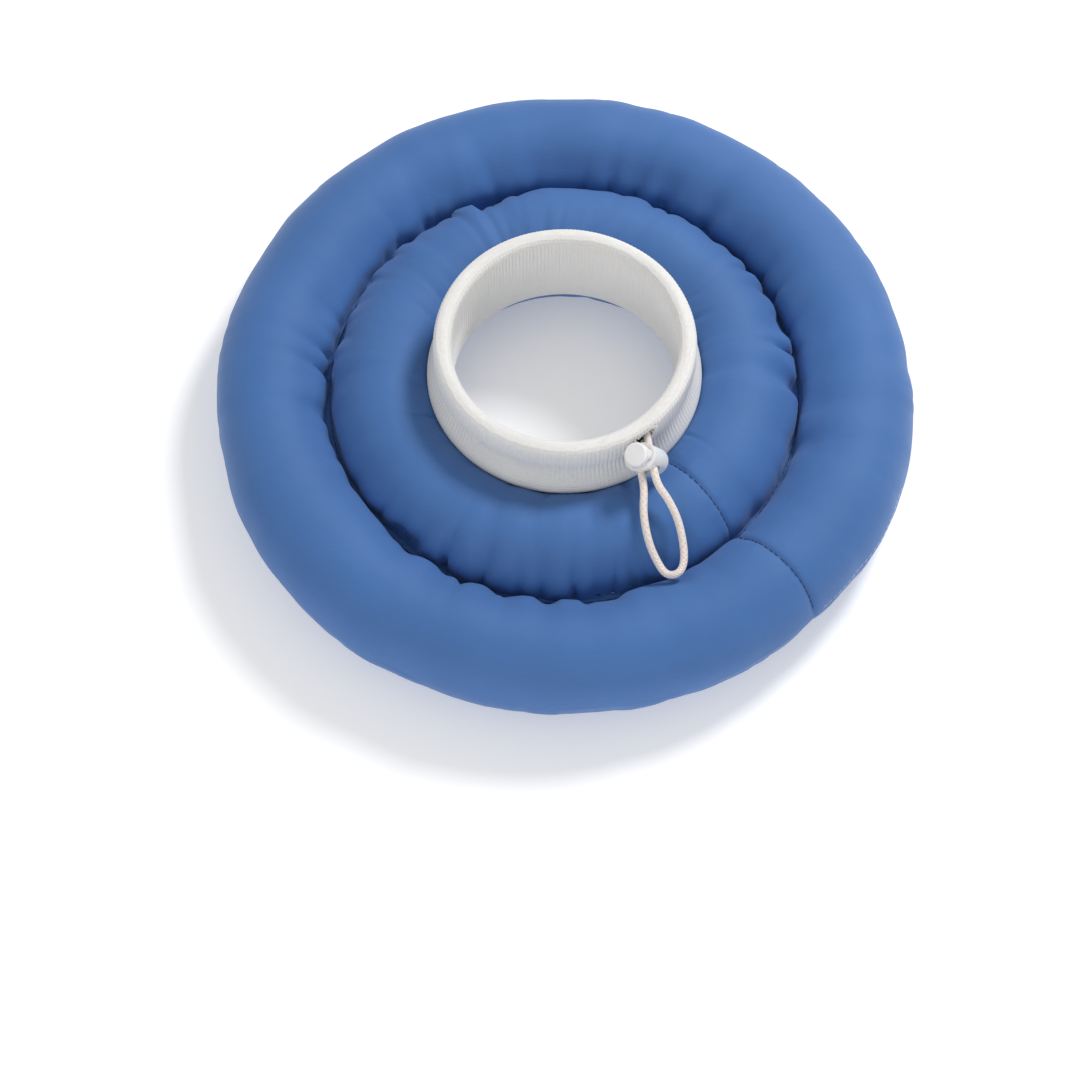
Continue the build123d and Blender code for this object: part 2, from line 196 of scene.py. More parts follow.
def finish_modifier(piece, modifier):
    only(piece)
    bpy.ops.object.modifier_apply(modifier=modifier.name)


def spun(name, outline, steps):
    """An outline of (radius, height) pairs, drawn point by point and spun round the neck."""
    bpy.ops.object.select_all(action="DESELECT")
    radius, height = outline[0]
    bpy.ops.mesh.primitive_plane_add(size=MM, location=(radius * MM, 0, height * MM))
    piece = bpy.context.object
    piece.name = name
    bpy.ops.object.transform_apply(location=True, rotation=True, scale=True)
    bpy.ops.object.mode_set(mode="EDIT")
    bpy.ops.mesh.select_mode(type="VERT")
    bpy.ops.mesh.select_all(action="SELECT")
    bpy.ops.mesh.merge(type="CENTER")
    for here, there in zip(outline, outline[1:]):
        move = ((there[0] - here[0]) * MM, 0, (there[1] - here[1]) * MM)
        bpy.ops.mesh.extrude_vertices_move(TRANSFORM_OT_translate={"value": move})
    bpy.ops.mesh.select_all(action="SELECT")
    bpy.ops.mesh.spin(steps=steps, angle=2 * pi, center=(0, 0, 0), axis=(0, 0, 1))
    bpy.ops.mesh.select_all(action="SELECT")
    bpy.ops.mesh.remove_doubles(threshold=0.01 * MM)
    bpy.ops.mesh.normals_make_consistent(inside=False)
    done()
    return piece


def curve_points(corners, rows):
    """Points along a cubic curve with four control corners."""
    line = []
    for row in range(rows + 1):
        t = row / rows
        shares = ((1 - t) ** 3, 3 * t * (1 - t) ** 2, 3 * t * t * (1 - t), t**3)
        line.append(tuple(sum(s * c[i] for s, c in zip(shares, corners)) for i in (0, 1)))
    return line


def dome(seam, crest, fullness, rows):
    """A quarter of a ring's outline, upright at its seam and level at its crest."""
    reach = fullness * (crest[0] - seam[0])
    rise = fullness * (crest[1] - seam[1])
    corners = (seam, (seam[0], seam[1] + rise), (crest[0] - reach, crest[1]), crest)
    return curve_points(corners, rows)


def polar(point):
    """Radius in millimetres, azimuth, and height in millimetres."""
    return (
        math.hypot(point.x, point.y) / MM,
        math.atan2(point.y, point.x),
        point.z / MM,
    )


def round_point(radius, azimuth, height):
    return Vector((radius * cos(azimuth), radius * sin(azimuth), height)) * MM


def copy_of(source, name):
    piece = source.copy()
    piece.data = source.data.copy()
    piece.name = name
    bpy.context.collection.objects.link(piece)
    return piece


def smooth(piece, angle=180):
    only(piece)
    if angle >= 180:
        bpy.ops.object.shade_smooth()
    else:
        bpy.ops.object.shade_smooth_by_angle(angle=radians(angle))


def outfit(piece, body, slot, finish, *nodes):
    """The piece's body, its finish in one material slot, and the solids it stands for; the slot
    argument is not used.
    """
    piece.data.materials.clear()
    piece.data.materials.append(finish)
    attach(piece, body)
    if nodes:
        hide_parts(*nodes)
    return piece


# ---------- finishes ----------


class Finish:
    """A node material built up step by step."""

    def __init__(self, name, roughness, **fixed):
        self.material = bpy.data.materials.new(name)
        self.material.use_nodes = True
        self.nodes = self.material.node_tree.nodes
        self.shader = self.nodes["Principled BSDF"]
        self.shader.inputs["Roughness"].default_value = roughness
        for socket, value in fixed.items():
            self.shader.inputs[socket.replace("_", " ")].default_value = value
        self.coords = self.nodes.new("ShaderNodeTexCoord")
        self.bump = None

    def link(self, start, end):
        self.material.node_tree.links.new(start, end)

    def place(self, stretch=(1, 1, 1), turn=(0, 0, 0), source="Object"):
        mapping = self.nodes.new("ShaderNodeMapping")
        mapping.inputs["Scale"].default_value = stretch
        mapping.inputs["Rotation"].default_value = turn
        self.link(self.coords.outputs[source], mapping.inputs["Vector"])
        return mapping.outputs["Vector"]

    def wave(self, where, scale, direction, distortion=0.0):
        node = self.nodes.new("ShaderNodeTexWave")
        node.bands_direction = direction
        node.inputs["Scale"].default_value = scale
        node.inputs["Distortion"].default_value = distortion
        node.inputs["Detail Scale"].default_value = 1.0
        self.link(where, node.inputs["Vector"])
        return node.outputs["Fac"]

    def grain(self, where, scale, detail=2.0):
        node = self.nodes.new("ShaderNodeTexNoise")
        node.inputs["Scale"].default_value = scale
        node.inputs["Detail"].default_value = detail
        self.link(where, node.inputs["Vector"])
        return node.outputs["Fac"]

    def sums(self, operation, first, second):
        node = self.nodes.new("ShaderNodeMath")
        node.operation = operation
        for socket, value in zip(node.inputs, (first, second)):
            if isinstance(value, (int, float)):
                socket.default_value = value
            else:
                self.link(value, socket)
        return node.outputs["Value"]

    def relief(self, height, distance, strength=1.0):
        """Stacks one more layer of bump on the ones before."""
        node = self.nodes.new("ShaderNodeBump")
        node.inputs["Distance"].default_value = distance
        node.inputs["Strength"].default_value = strength
        self.link(height, node.inputs["Height"])
        if self.bump:
            self.link(self.bump.outputs["Normal"], node.inputs["Normal"])
        self.bump = node
        self.link(node.outputs["Normal"], self.shader.inputs["Normal"])

    def tint(self, amount, stops):
        """Colour from a ramp of (place, colour) stops."""
        node = self.nodes.new("ShaderNodeValToRGB")
        ramp = node.color_ramp
        while len(ramp.elements) < len(stops):
            ramp.elements.new(0.5)
        for element, (place, colour) in zip(ramp.elements, stops):
            element.position = place
            element.color = (*colour, 1)
        self.link(amount, node.inputs["Fac"])
        return node.outputs["Color"]

    def mix(self, *layers):
        """Weighted sum of (output, weight) layers."""
        total = None
        for output, weight in layers:
            layer = self.sums("MULTIPLY", output, weight)
            total = layer if total is None else self.sums("ADD", total, layer)
        return total

    def colour(self, output):
        self.link(output, self.shader.inputs["Base Color"])

    def shine(self, amount, low, high):
        """Roughness that varies between low and high."""
        node = self.nodes.new("ShaderNodeMapRange")
        node.inputs["To Min"].default_value = low
        node.inputs["To Max"].default_value = high
        self.link(amount, node.inputs["Value"])
        self.link(node.outputs["Result"], self.shader.inputs["Roughness"])


def shade(colour, factor):
    return tuple(min(1.0, part * factor) for part in colour)


def cover_finish():
    """Plain-woven polyester, cut flat, so its grain runs straight across both rings."""
    cloth = Finish("blue_woven_cover", 0.62, Sheen_Weight=0.22, Sheen_Roughness=0.45)
    cloth.shader.inputs["Sheen Tint"].default_value = (0.62, 0.74, 1.0, 1)
    cloth.shader.inputs["Specular IOR Level"].default_value = 0.32
    flat = cloth.place()
    warp = cloth.wave(flat, 880, "X", 0.6)
    weft = cloth.wave(flat, 880, "Y", 0.6)
    weave = cloth.sums("MULTIPLY", warp, weft)
    slub = cloth.grain(cloth.place((1, 14, 1)), 120, 3)
    cloudy = cloth.grain(flat, 22, 3)
    mixed = cloth.mix((cloudy, 0.55), (slub, 0.25), (weave, 0.2))
    stops = ((0.2, shade(BLUE, 0.86)), (0.5, BLUE), (0.8, shade(BLUE, 1.14)))
    cloth.colour(cloth.tint(mixed, stops))
    cloth.shine(slub, 0.54, 0.7)
    cloth.relief(cloth.grain(flat, 75, 2), 0.35 * MM, 0.5)
    cloth.relief(cloth.grain(flat, 260, 2), 0.1 * MM, 0.5)
    cloth.relief(weave, 0.06 * MM, 0.6)
    return cloth.material


def thread_finish(name, colour):
    """Spun polyester: two plies that wind round each other."""
    thread = Finish(name, 0.6, Sheen_Weight=0.2)
    where = thread.place()
    fuzz = thread.grain(where, 2600, 3)
    ply = thread.wave(thread.place((1, 1, 1), (0.5, 0.4, 0.8)), 900, "DIAGONAL", 1.5)
    mixed = thread.mix((fuzz, 0.6), (ply, 0.4))
    stops = ((0.25, shade(colour, 0.7)), (0.55, colour), (0.85, shade(colour, 1.25)))
    thread.colour(thread.tint(mixed, stops))
    thread.relief(ply, 0.06 * MM, 0.8)
    thread.relief(fuzz, 0.03 * MM, 0.6)
    return thread.material


def knit_finish():
    """White 1 by 1 rib knit: small stitches up every rib, a little fuzz."""
    knit = Finish("white_rib_knit", 0.85, Sheen_Weight=0.35, Sheen_Roughness=0.6)
    knit.shader.inputs["Subsurface Weight"].default_value = 0.12
    knit.shader.inputs["Subsurface Scale"].default_value = 1.2 * MM
    where = knit.place()
    loops = knit.wave(where, 330, "Z", 3.5)
    fuzz = knit.grain(where, 900, 4)
    soft = knit.grain(where, 60, 2)
    mixed = knit.mix((fuzz, 0.4), (loops, 0.25), (soft, 0.35))
    white = (0.775, 0.765, 0.745)
    stops = ((0.2, shade(white, 0.9)), (0.55, white), (0.85, shade(white, 1.06)))
    knit.colour(knit.tint(mixed, stops))
    knit.relief(loops, 0.14 * MM, 0.6)
    knit.relief(fuzz, 0.08 * MM, 0.6)
    return knit.material


def cord_finish():
    """Braided cover of pale yarn with faint flecks of a pinker one."""
    cord = Finish("braided_elastic", 0.72, Sheen_Weight=0.3)
    along = cord.place((1, 1, 1), source="UV")
    right = cord.wave(cord.place((30, 3, 1), source="UV"), 1.0, "DIAGONAL", 0.3)
    left = cord.wave(cord.place((30, -3, 1), source="UV"), 1.0, "DIAGONAL", 0.3)
    braid = cord.sums("MULTIPLY", right, left)
    flecks = cord.grain(cord.place((55, 5, 1), source="UV"), 1.6, 2)
    pale = (0.83, 0.745, 0.68)
    pink = (0.81, 0.66, 0.6)
    stops = ((0.0, pale), (0.56, pale), (0.66, pink), (0.75, shade(pale, 0.95)))
    cord.colour(cord.tint(flecks, stops))
    cord.relief(braid, 0.25 * MM, 0.8)
    cord.relief(cord.grain(along, 400, 3), 0.05 * MM, 0.5)
    return cord.material


def plastic_finish():
    """White moulded acetal with a fine satin texture."""
    plastic = Finish("white_moulded_plastic", 0.36, Coat_Weight=0.12)
    plastic.shader.inputs["Subsurface Weight"].default_value = 0.15
    plastic.shader.inputs["Subsurface Scale"].default_value = 0.8 * MM
    where = plastic.place()
    fine = plastic.grain(where, 1500, 3)
    broad = plastic.grain(where, 180, 2)
    white = (0.84, 0.84, 0.83)
    plastic.colour(plastic.tint(broad, ((0.3, shade(white, 0.95)), (0.7, white))))
    plastic.shine(fine, 0.3, 0.44)
    plastic.relief(fine, 0.02 * MM, 0.5)
    return plastic.material


def fibre_finish():
    """Crimped polyester fibre, white."""
    fibre = Finish("white_fibre", 0.95, Sheen_Weight=0.5)
    where = fibre.place()
    tufts = fibre.grain(where, 140, 5)
    hairs = fibre.wave(where, 160, "DIAGONAL", 14)
    stops = ((0.3, (0.66, 0.66, 0.65)), (0.7, (0.86, 0.86, 0.85)))
    fibre.colour(fibre.tint(tufts, stops))
    fibre.relief(tufts, 1.4 * MM, 0.8)
    fibre.relief(hairs, 0.3 * MM, 0.6)
    return fibre.material


def steel_finish():
    """Drawn spring wire."""
    steel = Finish("spring_wire", 0.3, Metallic=1.0)
    marks = steel.grain(steel.place((1, 1, 12)), 900, 2)
    steel.colour(steel.tint(marks, ((0.3, (0.5, 0.5, 0.51)), (0.7, (0.68, 0.68, 0.69)))))
    steel.shine(marks, 0.22, 0.38)
    return steel.material


COVER = cover_finish()
BLUE_THREAD = thread_finish("blue_thread", (0.02, 0.045, 0.14))
PALE_THREAD = thread_finish("pale_thread", (0.36, 0.47, 0.68))
WHITE_THREAD = thread_finish("white_thread", (0.78, 0.78, 0.77))
RIB_KNIT = knit_finish()
ELASTIC = cord_finish()
PLASTIC = plastic_finish()
FIBRE = fibre_finish()
STEEL = steel_finish()


# ---------- camera, lights and floor ----------


def aim(thing, point):
    thing.rotation_euler = (Vector(point) - thing.location).to_track_quat("-Z", "Y").to_euler()


def set_camera():
    bpy.ops.object.camera_add(location=(0, -0.5517, 0.9697))
    camera = bpy.context.object
    camera.data.lens = 100.9
    camera.data.sensor_width = 36
    camera.data.clip_start = 0.01
    aim(camera, (-0.0079, -0.0471, -0.0093))
    bpy.context.scene.camera = camera


def soft_box(name, place, size, power):
    bpy.ops.object.light_add(type="AREA", location=place)
    lamp = bpy.context.object
    lamp.name = name
    lamp.data.shape = "DISK"
    lamp.data.size = size
    lamp.data.energy = power
    aim(lamp, MIDDLE)


def set_studio():
    bpy.ops.mesh.primitive_plane_add(size=6, location=(0, 0, 0))
    floor = bpy.context.object
    floor.name = "studio_floor"
    paper = bpy.data.materials.new("pale_paper")
    paper.use_nodes = True
    shader = paper.node_tree.nodes["Principled BSDF"]
    shader.inputs["Base Color"].default_value = PAPER
    shader.inputs["Roughness"].default_value = 0.9
    shader.inputs["Emission Color"].default_value = WHITE
    shader.inputs["Emission Strength"].default_value = 0.24
    floor.data.materials.append(paper)
    world = bpy.data.worlds.new("studio")
    world.use_nodes = True
    sky = world.node_tree.nodes["Background"]
    sky.inputs["Color"].default_value = WHITE
    sky.inputs["Strength"].default_value = 0.5
    bpy.context.scene.world = world
    bpy.context.scene.view_settings.view_transform = "Standard"
    soft_box("key", (0.55, 0.65, 0.95), 0.35, 11)
    soft_box("front", (-0.35, -1.2, 0.6), 0.9, 5.5)


set_camera()


# ---------- the cord's free loop ----------


def lock_frame():
    azimuth, dip, roll = (radians(a) for a in (LOCK_AZIMUTH, LOCK_DIP, LOCK_ROLL))
    way = Vector((cos(azimuth) * cos(dip), sin(azimuth) * cos(dip), -sin(dip)))
    level = Vector((-sin(azimuth), cos(azimuth), 0))
    across = level * cos(roll) + way.cross(level) * sin(roll)
    seat = radians(LOCK_SEAT_AZIMUTH)
    centre = Vector((LOCK_RADIUS * cos(seat), LOCK_RADIUS * sin(seat), LOCK_HEIGHT))
    return centre, across, way, way.cross(across)


LOCK_CENTRE, ACROSS, WAY, UP = lock_frame()


def strand_point(side, along):
    return LOCK_CENTRE + ACROSS * (side * STRAND_SPACING / 2) + WAY * along


def loop_route():
    route = [strand_point(-1, along) for along in (STRAND_START, STRAND_STRAIGHT, STRAND_END)]
    route += [Vector(corner) for corner in LOOP_CORNERS]
    route += [strand_point(1, along) for along in (STRAND_END, STRAND_STRAIGHT, STRAND_START)]
    return [point * MM for point in route]


def smooth_cord(name, route, thickness):
    """A round cord along a smooth spline, as a curve."""
    data = bpy.data.curves.new(name, "CURVE")
    data.dimensions = "3D"
    spline = data.splines.new("NURBS")
    spline.points.add(len(route) - 1)
    for knot, place in zip(spline.points, route):
        knot.co = (*place, 1)
    spline.order_u = 3
    spline.use_endpoint_u = True
    spline.resolution_u = 24
    data.bevel_depth = thickness / 2
    data.bevel_resolution = 6
    data.use_fill_caps = True
    cord = bpy.data.objects.new(name, data)
    bpy.context.collection.objects.link(cord)
    return cord


def line_of(cord):
    """The points the cord's centre follows."""
    thickness = cord.data.bevel_depth
    cord.data.bevel_depth = 0
    bpy.context.view_layer.update()
    line = bpy.data.meshes.new_from_object(cord)
    points = [vertex.co.copy() for vertex in line.vertices]
    cord.data.bevel_depth = thickness
    bpy.context.view_layer.update()
    return points


def make_loop():
    loop = smooth_cord("elastic_loop", loop_route(), CORD * MM)
    path = line_of(loop)
    only(loop)
    bpy.ops.object.convert(target="MESH")
    loop = bpy.context.object
    smooth(loop)
    outfit(loop, "collar", "elastic_cord", ELASTIC, "drawcord_loop")


make_loop()


# ---------- covers ----------


def cover_outline():
    groove_in = GROOVE_RADIUS - GROOVE_HALF_WIDTH
    groove_out = GROOVE_RADIUS + GROOVE_HALF_WIDTH
    top = SEAM_HEIGHT + FABRIC
    low = SEAM_HEIGHT - FABRIC
    neck, inside, outside, rim = FLOOR_EDGES
    line = dome((NECK_RADIUS, FLANGE_UP), INNER_CREST, FULL, 12)
    line += dome((groove_in, top), INNER_CREST, ROUND, 13)[::-1][1:]
    line += dome((groove_out, top), OUTER_CREST, ROUND, 13)
    line += dome((OUTER_RADIUS, SEAM_HEIGHT), OUTER_CREST, ROUND, 12)[::-1][1:]
    line += dome((OUTER_RADIUS, SEAM_HEIGHT), (rim, 0), ROUND, 7)[1:]
    line += dome((groove_out, low), (outside, 0), ROUND, 7)[::-1]
    line += dome((groove_in, low), (inside, 0), ROUND, 7)
    line += dome((NECK_RADIUS, FLANGE_DOWN), (neck, 0), ROUND, 7)[::-1]
    return line


def crease(azimuth, lane, pleats, width):
    """1 along a pleat's fold, 0 away from it; pleats sets how many there are round the ring."""
    where = Vector((pleats * cos(azimuth), pleats * sin(azimuth), lane))
    return max(0.0, 1 - abs(noise.noise(where)) / width)


def swell(azimuth, lane, lumps):
    return noise.noise(Vector((lumps * cos(azimuth), lumps * sin(azimuth), lane)))


def gather(point, pleats, depth, width):
    """How far the sewn seams pull the fabric in at a point, in millimetres.

    The folds run out from the groove, then from the neck seam, then from the rim.
    """
    radius, azimuth, height = polar(point)
    outside = radius > GROOVE_RADIUS
    top = height > SEAM_HEIGHT
    lane = 3.0 * outside + 7.0 * top + pleats
    near = math.hypot(radius - GROOVE_RADIUS, height - SEAM_HEIGHT)
    reach = (17 if outside else 11) + 16 * swell(azimuth, lane + 20, 5)
    strength = 0.9 + 1.8 * swell(azimuth, lane + 30, 2.2)
    fold = crease(azimuth, lane + near / 70, pleats, width + near / 55)
    fade = exp(-max(near - 6, 0) / max(reach, 4)) * (1 - exp(-near / 2.5))
    pull = -depth * max(strength, 0.12) * fold * fade
    neck = max(radius - NECK_RADIUS - 4, 0) if top else near
    fold = crease(azimuth + radius / 300, lane + 40, pleats * 0.75, width * 0.9)
    patch = max(0.1, 0.5 + 1.6 * swell(azimuth, lane + 60, 2.0))
    pull -= 0.55 * depth * patch * fold * exp(-neck / 7) * min(neck / 2, 1)
    rim = math.hypot(radius - OUTER_RADIUS, height - SEAM_HEIGHT)
    fold = crease(azimuth, lane + 50, pleats * 1.3, width * 1.2)
    return pull - 0.3 * depth * fold * exp(-rim / 9) * (1 - exp(-rim / 3))


def lumps(point):
    """Uneven stuffing under the fabric, in millimetres."""
    radius, _, height = polar(point)
    near = math.hypot(radius - GROOVE_RADIUS, height - SEAM_HEIGHT)
    calm = min(near, abs(radius - NECK_RADIUS), 14) / 14
    return calm * (1.1 * noise.noise(point * 26) + 0.45 * noise.noise(point * 60))


def drawn_in(piece, how_far):
    """Moves every point of a piece along its normal."""
    normals = [vertex.normal.copy() for vertex in piece.data.vertices]
    for vertex, normal in zip(piece.data.vertices, normals):
        vertex.co += normal * how_far(vertex.co) * MM
    piece.data.update()


def bump_over(azimuth, centre, width):
    """1 at an azimuth in degrees, fading out over a width in degrees."""
    turn = (math.degrees(azimuth) - centre + 180) % 360 - 180
    return exp(-((turn / width) ** 2))


def uneven(point):
    """The outline isn't a true circle: fuller beside the radial seam, nipped at it."""
    radius, azimuth, height = polar(point)
    share = min(max((radius - 92) / 33, 0), 1) ** 1.3
    out = 1.7 * bump_over(azimuth, -22, 17) - 0.7 * bump_over(azimuth, -46, 4.5)
    out += 0.5 * swell(azimuth, 80, 1.4)
    return round_point(radius + out * share, azimuth, height)


def fill(piece):
    """Blows the sewn covers up over their stuffing; the seams stay where they are sewn.

    Cloth hardly moves at this size, so the covers are larger while they fill.
    """
    sewn = piece.vertex_groups.new(name="sewn")
    for vertex in piece.data.vertices:
        radius, _, height = polar(vertex.co)
        groove = math.hypot(radius - GROOVE_RADIUS, height - SEAM_HEIGHT)
        if groove < 1.3 or (radius < NECK_RADIUS + 1.2 and 14 < height < 24):
            sewn.add([vertex.index], 1, "REPLACE")
    edit(piece)
    bpy.ops.mesh.select_all(action="SELECT")
    bpy.ops.transform.resize(value=(FILL_SCALE,) * 3, center_override=(0, 0, 0))
    done()
    before = [vertex.co.copy() for vertex in piece.data.vertices]
    cloth = piece.modifiers.new("stuffing", "CLOTH")
    settings = cloth.settings
    settings.quality = 5
    settings.mass = 0.2
    settings.use_pressure = True
    settings.uniform_pressure_force = 7
    settings.effector_weights.gravity = 0
    settings.vertex_group_mass = sewn.name
    settings.tension_stiffness = 15
    settings.compression_stiffness = 15
    settings.shear_stiffness = 5
    settings.bending_stiffness = 0.3
    cloth.collision_settings.use_collision = False
    cloth.point_cache.frame_start = 1
    cloth.point_cache.frame_end = FILL_STEPS
    for step in range(1, FILL_STEPS + 1):
        bpy.context.scene.frame_set(step)
    finish_modifier(piece, cloth)
    bpy.context.scene.frame_set(1)
    for vertex, start in zip(piece.data.vertices, before):
        move = vertex.co - start
        if move.length > FILL_LIMIT * MM * FILL_SCALE:
            vertex.co = start + move.normalized() * FILL_LIMIT * MM * FILL_SCALE
    edit(piece)
    bpy.ops.mesh.select_all(action="SELECT")
    bpy.ops.transform.resize(value=(1 / FILL_SCALE,) * 3, center_override=(0, 0, 0))
    done()


def settle(piece):
    """Nothing goes through the floor."""
    for vertex in piece.data.vertices:
        vertex.co.z = max(vertex.co.z, 0)


def press_together(piece):
    """The two rings' walls lean on each other above and below the groove's seam."""
    for vertex in piece.data.vertices:
        radius, azimuth, height = polar(vertex.co)
        away = radius - GROOVE_RADIUS
        rise = abs(height - SEAM_HEIGHT)
        if abs(away) > LEAN_REACH or rise < 1.2:
            continue
        lean = 0.62 * exp(-(((rise - 6) / 5.5) ** 2)) * (1 + 0.6 * swell(azimuth, 70, 4))
        lean *= (1 - (away / LEAN_REACH) ** 2) ** 2
        vertex.co = round_point(GROOVE_RADIUS + away * (1 - min(lean, 0.8)), azimuth, height)
    piece.data.update()


def from_seam(azimuth):
    """The turn from the radial seam, from -pi to pi."""
    return (azimuth - radians(RADIAL_SEAM) + pi) % (2 * pi) - pi


def seam_crease(piece):
    """Sinks the radial seam into both rings, with small tucks at its stitches."""
    seam = radians(RADIAL_SEAM)
    for vertex in piece.data.vertices:
        radius, azimuth, height = polar(vertex.co)
        turn = from_seam(azimuth)
        if abs(turn) < CREASE_WINDOW:
            closer = (abs(turn) / CREASE_WINDOW) ** 1.9
            turn = math.copysign(CREASE_WINDOW * closer, turn)
            vertex.co = round_point(radius, seam + turn, height)
    piece.data.update()
    normals = [vertex.normal.copy() for vertex in piece.data.vertices]
    for vertex, normal in zip(piece.data.vertices, normals):
        radius, azimuth, height = polar(vertex.co)
        side = radius * from_seam(azimuth)
        if abs(side) > CREASE_REACH:
            continue
        tuck = 0.75 + 0.25 * sin(2 * pi * radius / 6.2 + 3 * noise.noise(vertex.co * 120))
        depth = 0.8 * exp(-((side / 0.75) ** 2)) + 0.55 * tuck * exp(-((side / 4.0) ** 2))
        near = math.hypot(radius - GROOVE_RADIUS, height - SEAM_HEIGHT)
        rim = math.hypot(radius - OUTER_RADIUS, height - SEAM_HEIGHT)
        low = min(near, abs(radius - NECK_RADIUS), max(rim - 2, 0), 5) / 5
        vertex.co -= normal * depth * low * MM


def add_allowance(piece, radius, height, inner):
    """Turns the cut edge in along the seam."""

    def at_edge(point):
        r, _, z = polar(point)
        return abs(r - radius) < 3.2 and abs(z - height) < 1.2

    found = open_edges(piece)
    points, edges = piece.data.vertices, piece.data.edges
    cut = [index for index in found if all(at_edge(points[v].co) for v in edges[index].vertices)]
    take_edges(piece, cut)
    share = inner / radius
    bpy.ops.mesh.extrude_edges_move(TRANSFORM_OT_translate={"value": (0, 0, 0)})
    bpy.ops.transform.resize(value=(share, share, 1), center_override=(0, 0, 0))
    done()


def make_covers():
    covers = spun("covers", cover_outline(), COVER_COLUMNS)
    upper = covers.vertex_groups.new(name="upper")
    ids = [v.index for v in covers.data.vertices if v.co.z / MM > SEAM_HEIGHT - 0.05]
    upper.add(ids, 1, "REPLACE")
    drawn_in(covers, lambda point: gather(point, 5.0, 3.0, 0.34) + lumps(point))
    for vertex in covers.data.vertices:
        vertex.co = uneven(vertex.co)
    covers.data.update()
    fill(covers)
    settle(covers)
    return covers


def cut_away(piece, test):
    edit(piece)
    pick(piece, "FACE", test)
    bpy.ops.mesh.delete(type="FACE")
    done()


def seam_room(point):
    """The stuffing gives way under the radial seam, in millimetres."""
    radius, azimuth, _ = polar(point)
    return 1.7 * exp(-((radius * from_seam(azimuth) / 8) ** 2))


def close_ring(filling, beside_groove):
    """Bridges the two open edges beside the groove, or the two at the neck."""
    found = open_edges(filling)
    points, edges = filling.data.vertices, filling.data.edges
    radii = [polar(points[edges[index].vertices[0]].co)[0] for index in found]
    wanted = [i for i, r in zip(found, radii) if (r > MIDDLE_RADIUS) == beside_groove]
    if wanted:
        take_edges(filling, wanted)
        bpy.ops.mesh.bridge_edge_loops()
        done()


def make_filling(covers, name, node, outer):
    """Stuffing as a closed ring just inside the covers."""
    filling = copy_of(covers, name)
    filling.vertex_groups.clear()
    if outer:
        cut_away(filling, lambda c: polar(c)[0] < GROOVE_RADIUS + FIBRE_CLEAR)
    else:
        cut_away(filling, lambda c: polar(c)[0] > GROOVE_RADIUS - FIBRE_CLEAR)
    mesh = filling.data
    mesh.update()
    normals = [vertex.normal.copy() for vertex in mesh.vertices]
    for vertex, normal in zip(mesh.vertices, normals):
        depth = FIBRE_GAP + 0.35 * noise.noise(vertex.co * 200) + seam_room(vertex.co)
        vertex.co -= normal * depth * MM
    for beside_groove in (True, False):
        close_ring(filling, beside_groove)
    edit(filling)
    bpy.ops.mesh.select_all(action="SELECT")
    bpy.ops.mesh.normals_make_consistent(inside=False)
    done()
    smooth(filling)
    outfit(filling, "collar", "stuffing", FIBRE, node)


def make_cover(covers, name, node, top):
    cover = copy_of(covers, name)
    group = cover.vertex_groups["upper"].index
    weight = {}
    for vertex in cover.data.vertices:
        weight[vertex.index] = sum(g.weight for g in vertex.groups if g.group == group)
    edit(cover)
    bpy.ops.mesh.select_mode(type="FACE")
    done()
    for face in cover.data.polygons:
        above = all(weight[v] > 0.95 for v in face.vertices)
        face.select = above != top
    bpy.ops.object.mode_set(mode="EDIT")
    bpy.ops.mesh.delete(type="FACE")
    done()
    flange = FLANGE_UP if top else FLANGE_DOWN
    add_allowance(cover, NECK_RADIUS, flange, NECK_RADIUS + ALLOWANCE)
    add_allowance(cover, OUTER_RADIUS, SEAM_HEIGHT, OUTER_RADIUS - ALLOWANCE)
    wall = cover.modifiers.new("fabric", "SOLIDIFY")
    wall.thickness = FABRIC * MM
    wall.offset = -1
    finish_modifier(cover, wall)
    cover.vertex_groups.clear()
    smooth(cover, 50)
    outfit(cover, "collar", "cover_fabric", COVER, node)
    return cover


covers = make_covers()
finer = covers.modifiers.new("finer", "SUBSURF")
finer.levels = 1
finer.render_levels = 1
finish_modifier(covers, finer)
drawn_in(covers, lambda point: gather(point, 8.5, 2.6, 0.26))
settle(covers)
make_filling(covers, "outer_ring_fibre", "outer_ring_filling", True)
make_filling(covers, "inner_ring_fibre", "inner_ring_filling", False)
press_together(covers)
seam_crease(covers)
upper_cover = make_cover(covers, "upper_cover_fabric", "upper_cover", True)
lower_cover = make_cover(covers, "lower_cover_fabric", "lower_cover", False)
bpy.data.objects.remove(covers)


# ---------- neck band ----------


def band_outline():
    base = NECK_RADIUS + ALLOWANCE
    line = [(base, FLANGE_UP), (47.0, FLANGE_UP), (BASE_RADIUS, FLANGE_UP), (BASE_RADIUS, 25.0)]
    line += [(45.3, 28.4), (46.3, 30.3), (47.7, 32.3), (48.8, 33.6), (48.6, 35.0), (47.3, 37.4)]
    line += [(46.2, 40.2), (45.6, 42.4), (45.3, 44.4), (45.6, 46.2), (BAND_RADIUS, 48.2)]
    line += [(BAND_RADIUS + 0.1, 50.2), (BAND_RADIUS, 52.4)]
    middle = BAND_RADIUS - FOLD_RADIUS
    for step in range(11):
        angle = pi * step / 10
        line.append((middle + FOLD_RADIUS * cos(angle), FOLD_HEIGHT + FOLD_RADIUS * sin(angle)))
    line += [(BORE, 50.0), (BORE, 46.0), (BORE, 41.0), (BORE, 35.0), (BORE, 29.0), (BORE, 24.0)]
    line += [(BORE + 0.9, 20.6), (42.2, 18.0), (NECK_RADIUS, FLANGE_DOWN), (base, FLANGE_DOWN)]
    return line


